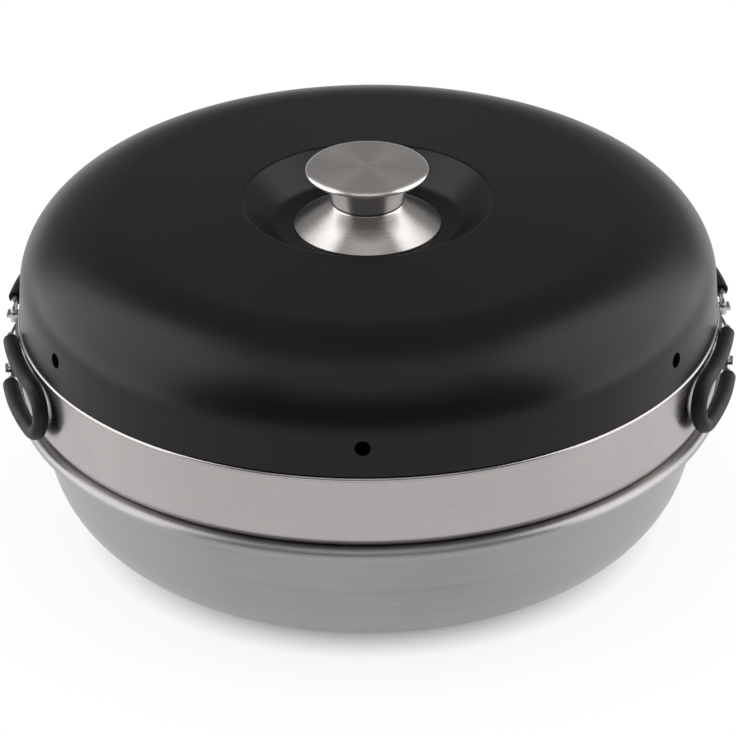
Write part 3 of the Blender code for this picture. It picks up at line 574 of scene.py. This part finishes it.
def add_node(tree, kind, sockets=None, **settings):
    """A shader node with its settings, and a value or a link for each named socket."""
    node = tree.nodes.new(kind)
    for name, value in settings.items():
        setattr(node, name, value)
    for name, value in (sockets or {}).items():
        if isinstance(value, bpy.types.NodeSocket):
            tree.links.new(value, node.inputs[name])
        else:
            node.inputs[name].default_value = value
    return node


def new_finish(name, tint, metallic, **constants):
    """A material with its plain values set on the shader; returns it with its tree and shader."""
    made = bpy.data.materials.get(name) or bpy.data.materials.new(name)
    made.use_nodes = True
    tree = made.node_tree
    tree.nodes.clear()
    shader = add_node(tree, "ShaderNodeBsdfPrincipled")
    shader.inputs["Metallic"].default_value = metallic
    shader.inputs["Base Color"].default_value = (*tint, 1.0)
    for socket, value in constants.items():
        shader.inputs[socket.replace("_", " ")].default_value = value
    add_node(tree, "ShaderNodeOutputMaterial", {"Surface": shader.outputs["BSDF"]})
    return made, tree, shader


def noise(tree, place, scale, detail, roughness=0.5):
    return add_node(tree, "ShaderNodeTexNoise", {"Vector": place, "Scale": scale, "Detail": detail,
                                                 "Roughness": roughness}).outputs["Fac"]


def ranged(tree, value, low, high, start=0.0, end=1.0):
    """The value's stretch from start to end, moved to run from low to high."""
    return add_node(tree, "ShaderNodeMapRange", {"Value": value, "From Min": start, "From Max": end,
                                                 "To Min": low, "To Max": high}).outputs["Result"]


def tinted(tree, shader, value, tint, darker, lighter):
    """Vary the shader's colour between a darker and a lighter share of its tint."""
    mix = add_node(tree, "ShaderNodeMix", data_type="RGBA")
    tree.links.new(value, mix.inputs["Factor"])
    mix.inputs[6].default_value = (*[c * darker for c in tint], 1.0)
    mix.inputs[7].default_value = (*[c * lighter for c in tint], 1.0)
    tree.links.new(mix.outputs[2], shader.inputs["Base Color"])


def bumped(tree, shader, height, depth):
    bump = add_node(tree, "ShaderNodeBump", {"Height": height, "Distance": depth, "Strength": 1.0})
    tree.links.new(bump.outputs["Normal"], shader.inputs["Normal"])


def brushed_steel(name, tint, roughness, stretch, s):
    """Steel brushed round the upright axis: fine rings that fade in and out, and a few longer marks."""
    made, tree, shader = new_finish(name, tint, 1.0, Anisotropic=stretch, Anisotropic_Rotation=0.25)
    place = add_node(tree, "ShaderNodeTexCoord").outputs["Object"]
    parts = add_node(tree, "ShaderNodeSeparateXYZ", {"Vector": place})
    flat = add_node(tree, "ShaderNodeCombineXYZ", {"X": parts.outputs["X"], "Y": parts.outputs["Y"]})
    radius = add_node(tree, "ShaderNodeVectorMath", {0: flat.outputs["Vector"]}, operation="LENGTH")
    across = add_node(tree, "ShaderNodeCombineXYZ", {"X": radius.outputs["Value"], "Z": parts.outputs["Z"]})
    fine = noise(tree, across.outputs["Vector"], 1 / s.finish.brush_spacing, 2.0)
    broad = noise(tree, across.outputs["Vector"], 0.15 / s.finish.brush_spacing, 2.0)
    patches = noise(tree, place, 22.0, 4.0, 0.6)
    lines = add_node(tree, "ShaderNodeMath", {0: fine, 1: broad}, operation="ADD").outputs["Value"]
    faded = add_node(tree, "ShaderNodeMath", {0: lines, 1: patches}, operation="MULTIPLY").outputs["Value"]
    tree.links.new(ranged(tree, faded, roughness * 0.8, roughness * 1.2, 0.25, 0.8), shader.inputs["Roughness"])
    tinted(tree, shader, patches, tint, 0.95, 1.05)
    bumped(tree, shader, faded, s.finish.brush_depth)
    tangent = add_node(tree, "ShaderNodeTangent", direction_type="RADIAL", axis="Z")
    tree.links.new(tangent.outputs["Tangent"], shader.inputs["Tangent"])
    return made


def drawn_metal(name, tint, roughness, s):
    """Plain drawn or pressed metal with small dull patches."""
    made, tree, shader = new_finish(name, tint, 1.0)
    place = add_node(tree, "ShaderNodeTexCoord").outputs["Object"]
    patches = noise(tree, place, 180.0, 4.0, 0.6)
    tree.links.new(ranged(tree, patches, roughness * 0.75, roughness * 1.25, 0.3, 0.7),
                   shader.inputs["Roughness"])
    tinted(tree, shader, patches, tint, 0.93, 1.05)
    bumped(tree, shader, noise(tree, place, 1 / s.finish.brush_spacing, 2.0), s.finish.brush_depth)
    return made


def lid_coating(s):
    """Satin black coating with a fine sprayed grain and slightly uneven gloss."""
    tint = s.finish.coating
    made, tree, shader = new_finish("lid_coating", tint, 0.0, IOR=1.5, Specular_IOR_Level=s.finish.coating_gloss)
    place = add_node(tree, "ShaderNodeTexCoord").outputs["Object"]
    grain = noise(tree, place, 1 / s.finish.grain, 2.0)
    clouds = noise(tree, place, 14.0, 3.0)
    rough = s.finish.coating_roughness
    tree.links.new(ranged(tree, clouds, rough * 0.93, rough * 1.07, 0.3, 0.7), shader.inputs["Roughness"])
    tinted(tree, shader, grain, tint, 0.85, 1.15)
    bumped(tree, shader, grain, s.finish.grain_depth)
    return made


def silicone(s):
    """Matt black moulded silicone with a dusty bloom."""
    tint = s.finish.silicone
    made, tree, shader = new_finish("silicone", tint, 0.0, IOR=1.45, Specular_IOR_Level=s.finish.silicone_gloss,
                                    Sheen_Weight=0.02, Sheen_Roughness=0.4)
    place = add_node(tree, "ShaderNodeTexCoord").outputs["Object"]
    bloom = noise(tree, place, 220.0, 4.0, 0.6)
    tree.links.new(ranged(tree, bloom, 0.42, 0.6, 0.3, 0.7), shader.inputs["Roughness"])
    tinted(tree, shader, bloom, tint, 0.8, 1.3)
    bumped(tree, shader, noise(tree, place, 1 / s.finish.grain, 2.0), s.finish.grain_depth)
    return made


def finish_named(name, s):
    """One of the oven's finishes, made when it is first asked for."""
    if name in bpy.data.materials and bpy.data.materials[name].get("oven_finish"):
        return bpy.data.materials[name]
    f = s.finish
    makers = {
        "base_steel": lambda: brushed_steel(name, f.pan_steel, f.pan_roughness, f.brush_stretch, s),
        "ring_steel": lambda: brushed_steel(name, f.ring_steel, f.ring_roughness, f.brush_stretch, s),
        "knob_steel": lambda: brushed_steel(name, f.knob_steel, f.knob_roughness, f.brush_stretch, s),
        "neck_steel": lambda: brushed_steel(name, f.knob_steel, f.neck_roughness, f.neck_stretch, s),
        "wire_steel": lambda: drawn_metal(name, f.wire_steel, 0.25, s),
        "rivet_metal": lambda: drawn_metal(name, f.rivet_metal, 0.35, s),
        "lid_coating": lambda: lid_coating(s),
        "silicone": lambda: silicone(s),
    }
    if name in bpy.data.materials:
        bpy.data.materials[name].name = "packed_" + name
    made = makers[name]()
    made["oven_finish"] = True
    return made


# Handles

def split_long(path, longest):
    """The path with its long straight stretches divided, so that they can follow the mould's curve."""
    points = [path[0]]
    for before, after in zip(path, path[1:]):
        count = max(1, math.ceil((Vector(after) - Vector(before)).length / longest))
        points += [tuple(Vector(before).lerp(Vector(after), i / count)) for i in range(1, count + 1)]
    return points


def leg_radius(reach, height, s, p):
    """How far the loop runs from Z: near the wall at the hinge, then eased out, most on the lower leg."""
    eased = min(max(reach / s.handle.setback, 0), 1)
    splay = s.handle.splay * (s.handle.upper - height) / s.handle.loop
    return p.hinge_radius + (s.handle.radius + splay - p.hinge_radius) * eased ** 2 * (3 - 2 * eased)


def tube_rings(path, radius, sides, side, lean, s, p):
    """Rings round a path of (reach, height) points wrapped round the mould."""
    outwards = []
    centres = []
    for reach, height in path:
        angle = p.hinge_angle + reach / s.handle.radius
        outward = Vector((side * math.cos(angle), lean * math.sin(angle), 0))
        outwards.append(outward)
        centres.append(outward * leg_radius(reach, height, s, p) + Vector((0, 0, height)))
    rings = []
    for i, (centre, outward) in enumerate(zip(centres, outwards)):
        into = (centre - centres[i - 1]).normalized() if i > 0 else None
        out = (centres[i + 1] - centre).normalized() if i < len(centres) - 1 else None
        into = into or out
        out = out or into
        along = (into + out).normalized()
        aside = along.cross(outward).normalized()
        across = aside.cross(along)
        mitre = 1 / along.dot(into)
        rings.append([centre + across * radius * math.cos(a) + aside * radius * mitre * math.sin(a)
                      for a in [math.tau * k / sides for k in range(sides)]])
    return rings


def wire_path(s, p):
    """Hairpin wire: out of the upper lug, along the mould, round the bend and back into the lower lug."""
    h = s.handle
    return filleted([
        (0, h.upper - h.stub, 0),
        (0, h.upper, h.bend),
        (h.setback, h.upper, 0),
        (h.reach, h.upper, h.loop / 2),
        (h.reach, p.lower, h.loop / 2),
        (h.setback, p.lower, 0),
        (0, p.lower, h.bend),
        (0, p.lower + h.stub, 0),
    ])


def sleeve_path(s, p):
    """The wire's path between the two hinge bends, which the sleeve covers."""
    h = s.handle
    return filleted([(h.setback, h.upper, 0), (h.reach, h.upper, h.loop / 2),
                     (h.reach, p.lower, h.loop / 2), (h.setback, p.lower, 0)])


def bent_round_wall(outline, half_width, side, p):
    """An outline of (radius, height) points swept a little way round Z, across the left or right wall."""
    middle = 0 if side > 0 else math.pi
    half_angle = half_width / p.hinge_radius
    angles = [middle - half_angle + 2 * half_angle * i / BRACKET_STEPS for i in range(BRACKET_STEPS + 1)]
    return swept_rings([[polar(r, a, z) for r, z in outline] for a in angles])


def bracket_outline(s, p):
    """A channel bent from sheet: a back plate on the mould's wall with a lug above and below."""
    low = p.bracket_bottom + s.handle.bracket_sheet
    high = p.bracket_top - s.handle.bracket_sheet
    return [(p.bracket_back, p.bracket_bottom), (p.lug_end, p.bracket_bottom), (p.lug_end, low),
            (p.bracket_front, low), (p.bracket_front, high), (p.lug_end, high),
            (p.lug_end, p.bracket_top), (p.bracket_back, p.bracket_top)]


def lug_gap_outline(p):
    """What is cut away between the front lugs and the rear ones, down to the bend at the back plate."""
    near = p.bracket_front + TOUCH_GAP
    far = p.lug_end + CUT_OVERRUN
    low = p.bracket_bottom - CUT_OVERRUN
    high = p.bracket_top + CUT_OVERRUN
    return [(near, low), (far, low), (far, high), (near, high)]


# Operators

class CAMP_OVEN_OT_base_pan(bpy.types.Operator):
    """Turn the steel base pan"""
    bl_idname = "camp_oven.base_pan"
    bl_label = "Base pan"

    def execute(self, context):
        s = context.scene.camp_oven
        p = places(s)
        pan = add_piece("pan", turned(pan_outline(s, p), SHELL_SEGMENTS), finish_named("base_steel", s))
        seat(pan, "base", "base_steel", "base_pan")
        return {"FINISHED"}


class CAMP_OVEN_OT_ring_mould(bpy.types.Operator):
    """Turn the ring mould and drill its rivet holes"""
    bl_idname = "camp_oven.ring_mould"
    bl_label = "Ring mould"

    def execute(self, context):
        s = context.scene.camp_oven
        p = places(s)
        ring = add_piece("ring_mould", turned(mould_outline(s, p), SHELL_SEGMENTS),
                         finish_named("ring_steel", s))
        holes = bmesh.new()
        for side in (0, math.pi):
            for step in (-s.handle.rivet_offset, s.handle.rivet_offset):
                angle = side + step / s.mould.radius
                start = polar(s.mould.radius - s.mould.sheet - CUT_OVERRUN, angle, p.rivet_height)
                end = polar(s.mould.radius + CUT_OVERRUN, angle, p.rivet_height)
                add_rod(holes, start, end, p.rivet_hole)
        cut(ring, holes)
        even_shading(ring)
        seat(ring, "mould", "ring_steel", "baking_ring")
        return {"FINISHED"}


class CAMP_OVEN_OT_lid(bpy.types.Operator):
    """Turn the coated lid and drill its vents"""
    bl_idname = "camp_oven.lid"
    bl_label = "Lid"

    def execute(self, context):
        s = context.scene.camp_oven
        p = places(s)
        lid = add_piece("lid", turned(lid_outline(s, p), SHELL_SEGMENTS), finish_named("lid_coating", s))
        vents = bmesh.new()
        height = p.skirt_top - s.lid.vent_drop
        for i in range(s.lid.vents):
            angle = s.lid.vent_turn - math.pi / 2 + math.tau * i / s.lid.vents
            start = polar(p.skirt_radius - s.lid.sheet - CUT_OVERRUN, angle, height)
            end = polar(p.skirt_radius + CUT_OVERRUN, angle, height)
            add_rod(vents, start, end, s.lid.vent_radius)
        cut(lid, vents)
        even_shading(lid)
        seat(lid, "lid", "lid_coating", "lid_shell")
        return {"FINISHED"}


class CAMP_OVEN_OT_knob(bpy.types.Operator):
    """Turn the knob's grip and its flared bell, and finish what holds them under the lid"""
    bl_idname = "camp_oven.knob"
    bl_label = "Knob"

    def execute(self, context):
        s = context.scene.camp_oven
        p = places(s)
        steel = finish_named("knob_steel", s)
        cap = add_piece("knob_grip", turned(cap_outline(s, p), KNOB_SEGMENTS), steel)
        cap.data.materials.append(finish_named("neck_steel", s))
        for face in cap.data.polygons:
            if face.center.z < p.cap_foot + s.knob.neck_height:
                face.material_index = 1
        seat(cap, "lid", "knob_steel", "knob_cap")
        bell = add_piece("knob_flare", turned(bell_outline(s, p), KNOB_SEGMENTS), steel)
        seat(bell, "lid", "knob_steel", "knob_bell")
        for node, finish in (("knob_core", "wire_steel"), ("knob_washer", "wire_steel"),
                             ("knob_screw", "wire_steel"), ("knob_gasket", "silicone")):
            for material_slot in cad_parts[node].material_slots:
                material_slot.material = finish_named(finish, s)
        return {"FINISHED"}


class CAMP_OVEN_OT_handles(bpy.types.Operator):
    """Bend the four handle wires and draw their sleeves over them"""
    bl_idname = "camp_oven.handles"
    bl_label = "Handles"

    def execute(self, context):
        s = context.scene.camp_oven
        p = places(s)
        wire_line = split_long(wire_path(s, p), PATH_STEP)
        sleeve_line = split_long(sleeve_path(s, p), PATH_STEP)
        for side_name, side in SIDES:
            for lean_name, lean in LEANS:
                place = f"{side_name}_{lean_name}"
                wire_body = swept_rings(tube_rings(wire_line, s.handle.wire, WIRE_SIDES, side, lean, s, p))
                wire = add_piece(f"wire_{place}", wire_body, finish_named("wire_steel", s))
                seat(wire, f"handle_{place}", "wire_steel", f"handle_wire_{place}")
                outer = tube_rings(sleeve_line, s.handle.sleeve, SLEEVE_SIDES, side, lean, s, p)
                bore = tube_rings(sleeve_line, s.handle.wire + TOUCH_GAP, SLEEVE_SIDES, side, lean, s, p)
                sleeve = add_piece(f"sleeve_{place}", swept_rings(outer + bore[::-1], closed_loop=True),
                                   finish_named("silicone", s))
                soften(sleeve, s.handle.sleeve_edge)
                seat(sleeve, f"handle_{place}", "silicone", f"handle_sleeve_{place}")
        return {"FINISHED"}


class CAMP_OVEN_OT_brackets(bpy.types.Operator):
    """Fold the two hinge brackets and set their rivets"""
    bl_idname = "camp_oven.brackets"
    bl_label = "Brackets and rivets"

    def execute(self, context):
        s = context.scene.camp_oven
        p = places(s)
        for side_name, side in SIDES:
            body = bent_round_wall(bracket_outline(s, p), s.handle.hinge_offset + p.lug_half, side, p)
            bracket = add_piece(f"bracket_{side_name}", body, finish_named("wire_steel", s))
            cut(bracket, bent_round_wall(lug_gap_outline(p), s.handle.hinge_offset - p.lug_half, side, p))
            holes = bmesh.new()
            for lean_name, lean in LEANS:
                axis = polar(p.hinge_radius, wall_angle(side, lean, p.hinge_angle), 0)
                low = axis + Vector((0, 0, p.bracket_bottom - CUT_OVERRUN))
                add_rod(holes, low, axis + Vector((0, 0, p.bracket_top + CUT_OVERRUN)), p.hinge_hole)
                angle = wall_angle(side, lean, s.handle.rivet_offset / s.mould.radius)
                add_rod(holes, polar(p.bracket_back - CUT_OVERRUN, angle, p.rivet_height),
                        polar(p.bracket_front + CUT_OVERRUN, angle, p.rivet_height), p.rivet_hole)
                body = turned(rivet_outline(s, p), SMALL_SEGMENTS)
                across = Matrix.Rotation(angle, 4, "Z") @ Matrix.Rotation(math.pi / 2, 4, "Y")
                bmesh.ops.transform(body, matrix=Matrix.Translation((0, 0, p.rivet_height)) @ across,
                                    verts=body.verts)
                rivet = add_piece(f"rivet_{side_name}_{lean_name}", body, finish_named("rivet_metal", s))
                seat(rivet, "mould", "rivet_metal", f"bracket_rivet_{side_name}_{lean_name}")
            cut(bracket, holes)
            soften(bracket, s.handle.bracket_edge)
            seat(bracket, "mould", "wire_steel", f"handle_bracket_{side_name}")
        return {"FINISHED"}


class CAMP_OVEN_OT_studio(bpy.types.Operator):
    """Set the camera, the lamps, the studio's light and the white floor"""
    bl_idname = "camp_oven.studio"
    bl_label = "Studio"

    def execute(self, context):
        s = context.scene.camp_oven
        add_camera(context.scene, s.studio)
        for side_name, side in SIDES:
            add_softbox(f"softbox_{side_name}", side, s.studio)
        add_top_panel(s.studio)
        light_studio(context.scene, s.studio)
        add_floor(s.studio)
        context.scene.view_settings.view_transform = "Standard"
        return {"FINISHED"}


# Studio

def add_camera(scene, studio):
    """A long lens aimed a little above the oven's middle height, from the front."""
    camera = bpy.data.objects.new("camera", bpy.data.cameras.new("camera"))
    scene.collection.objects.link(camera)
    camera.data.lens = studio.lens
    away = Vector((0, -math.cos(studio.elevation), math.sin(studio.elevation)))
    place = Vector((studio.aim_side, 0, studio.aim_height)) + away * studio.distance
    tilt = Matrix.Rotation(math.pi / 2 - studio.elevation, 4, "X") @ Matrix.Rotation(-studio.roll, 4, "Z")
    camera.matrix_world = Matrix.Translation(place) @ tilt
    scene.camera = camera


def add_panel(name, width, height, power, place, away):
    """A soft rectangular lamp at a place, with its back turned away from the oven."""
    lamp = bpy.data.lights.new(name, "AREA")
    lamp.shape = "RECTANGLE"
    lamp.size = width
    lamp.size_y = height
    lamp.energy = power
    panel = bpy.data.objects.new(name, lamp)
    bpy.context.scene.collection.objects.link(panel)
    panel.location = place
    panel.rotation_euler = away.to_track_quat("Z", "Y").to_euler()
    panel.visible_camera = False


def add_softbox(name, side, studio):
    """A tall soft panel beside the oven, a little to its rear, standing on the floor."""
    away = Vector((side * math.cos(studio.box_turn), math.sin(studio.box_turn), 0))
    place = away * studio.box_distance + Vector((0, 0, studio.box_height / 2))
    add_panel(name, studio.box_width, studio.box_height, studio.box_power, place, away)


def add_top_panel(studio):
    """A small weak panel high over the oven's front, which draws the bright line on the knob's edge."""
    away = Vector((0, -math.sin(studio.top_lean), math.cos(studio.top_lean)))
    place = away * studio.top_height / math.cos(studio.top_lean)
    add_panel("top_panel", studio.top_width, studio.top_depth, studio.top_power, place, away)


def light_studio(scene, studio):
    """A grey room, dark behind the camera, that grows lighter to the rear and overhead."""
    world = bpy.data.worlds.new("studio")
    world.use_nodes = True
    tree = world.node_tree
    tree.nodes.clear()
    direction = add_node(tree, "ShaderNodeTexCoord").outputs["Generated"]
    parts = add_node(tree, "ShaderNodeSeparateXYZ", {"Vector": direction}).outputs
    level = add_node(tree, "ShaderNodeMix", data_type="RGBA")
    tree.links.new(ranged(tree, parts["Y"], 0.0, 1.0, -0.6, 0.5), level.inputs["Factor"])
    level.inputs[6].default_value = (*studio.front, 1.0)
    level.inputs[7].default_value = (*studio.horizon, 1.0)
    mix = add_node(tree, "ShaderNodeMix", data_type="RGBA")
    tree.links.new(ranged(tree, parts["Z"], 0.0, 1.0, 0.4, 0.95), mix.inputs["Factor"])
    tree.links.new(level.outputs[2], mix.inputs[6])
    mix.inputs[7].default_value = (*studio.overhead, 1.0)
    sky = add_node(tree, "ShaderNodeBackground", {"Color": mix.outputs[2]})
    add_node(tree, "ShaderNodeOutputWorld", {"Surface": sky.outputs["Background"]})
    scene.world = world


def add_floor(studio):
    """A round white floor whose own white, seen directly or mirrored, fades out near the oven: the oven's close
    shadow shows there, and the fade itself is painted shade.
    """
    bm = bmesh.new()
    bmesh.ops.create_circle(bm, cap_ends=True, segments=SHELL_SEGMENTS, radius=studio.floor_reach)
    floor = add_piece("floor", bm)
    made = bpy.data.materials.new("white_floor")
    made.use_nodes = True
    tree = made.node_tree
    tree.nodes.clear()
    place = add_node(tree, "ShaderNodeTexCoord").outputs["Object"]
    away = add_node(tree, "ShaderNodeVectorMath", {0: place}, operation="LENGTH").outputs["Value"]
    # painted shade: the floor's own white falls to nothing between contact_end and contact_start, darkening the floor
    # round the oven's foot on top of its real shadow
    near = ranged(tree, away, 0.0, studio.near_white, studio.contact_start, studio.contact_end)
    far = ranged(tree, away, 0.0, 1.0 - studio.near_white, studio.far_start, studio.far_end)
    own = add_node(tree, "ShaderNodeMath", {0: near, 1: far}, operation="ADD").outputs["Value"]
    ray = add_node(tree, "ShaderNodeLightPath").outputs
    seen = add_node(tree, "ShaderNodeMath", {0: ray["Is Camera Ray"], 1: ray["Is Glossy Ray"]}, operation="ADD")
    seen = add_node(tree, "ShaderNodeMath", {0: seen.outputs["Value"], 1: ray["Is Transmission Ray"]},
                    operation="ADD", use_clamp=True)
    white_share = add_node(tree, "ShaderNodeMath", {0: seen.outputs["Value"], 1: own}, operation="MULTIPLY")
    lit = add_node(tree, "ShaderNodeBsdfDiffuse", {"Color": (*studio.floor, 1.0)})
    white = add_node(tree, "ShaderNodeEmission", {"Color": (1.0, 1.0, 1.0, 1.0), "Strength": 1.0})
    mix = add_node(tree, "ShaderNodeMixShader", {0: white_share.outputs["Value"], 1: lit.outputs["BSDF"],
                                                 2: white.outputs["Emission"]})
    add_node(tree, "ShaderNodeOutputMaterial", {"Surface": mix.outputs["Shader"]})
    floor.data.materials.append(made)


class CAMP_OVEN_PT_pieces(bpy.types.Panel):
    """The oven's pieces, its studio and the sizes that shape them"""
    bl_label = "Camp Oven"
    bl_space_type = "VIEW_3D"
    bl_region_type = "UI"
    bl_category = "Camp Oven"

    def draw(self, context):
        for operator in OPERATORS:
            self.layout.operator(operator.bl_idname)
        for group in SETTINGS[:-1]:
            box = self.layout.box()
            settings = getattr(context.scene.camp_oven, GROUP_NAMES[group])
            box.label(text=group.__doc__)
            for name in group.__annotations__:
                box.prop(settings, name)


OPERATORS = (CAMP_OVEN_OT_base_pan, CAMP_OVEN_OT_ring_mould, CAMP_OVEN_OT_lid, CAMP_OVEN_OT_knob,
             CAMP_OVEN_OT_handles, CAMP_OVEN_OT_brackets, CAMP_OVEN_OT_studio)
SETTINGS = (PanSettings, MouldSettings, LidSettings, KnobSettings, HandleSettings, FinishSettings,
            StudioSettings, OvenSettings)
GROUP_NAMES = dict(zip(SETTINGS, ("pan", "mould", "lid", "knob", "handle", "finish", "studio")))


def register():
    for group in SETTINGS + OPERATORS + (CAMP_OVEN_PT_pieces,):
        bpy.utils.register_class(group)
    bpy.types.Scene.camp_oven = PointerProperty(type=OvenSettings)


def unregister():
    del bpy.types.Scene.camp_oven
    for group in reversed(SETTINGS + OPERATORS + (CAMP_OVEN_PT_pieces,)):
        bpy.utils.unregister_class(group)


def main():
    register()
    bpy.ops.camp_oven.studio()
    bpy.ops.camp_oven.base_pan()
    bpy.ops.camp_oven.ring_mould()
    bpy.ops.camp_oven.lid()
    bpy.ops.camp_oven.knob()
    bpy.ops.camp_oven.brackets()
    bpy.ops.camp_oven.handles()


if __name__ == "__main__":
    main()
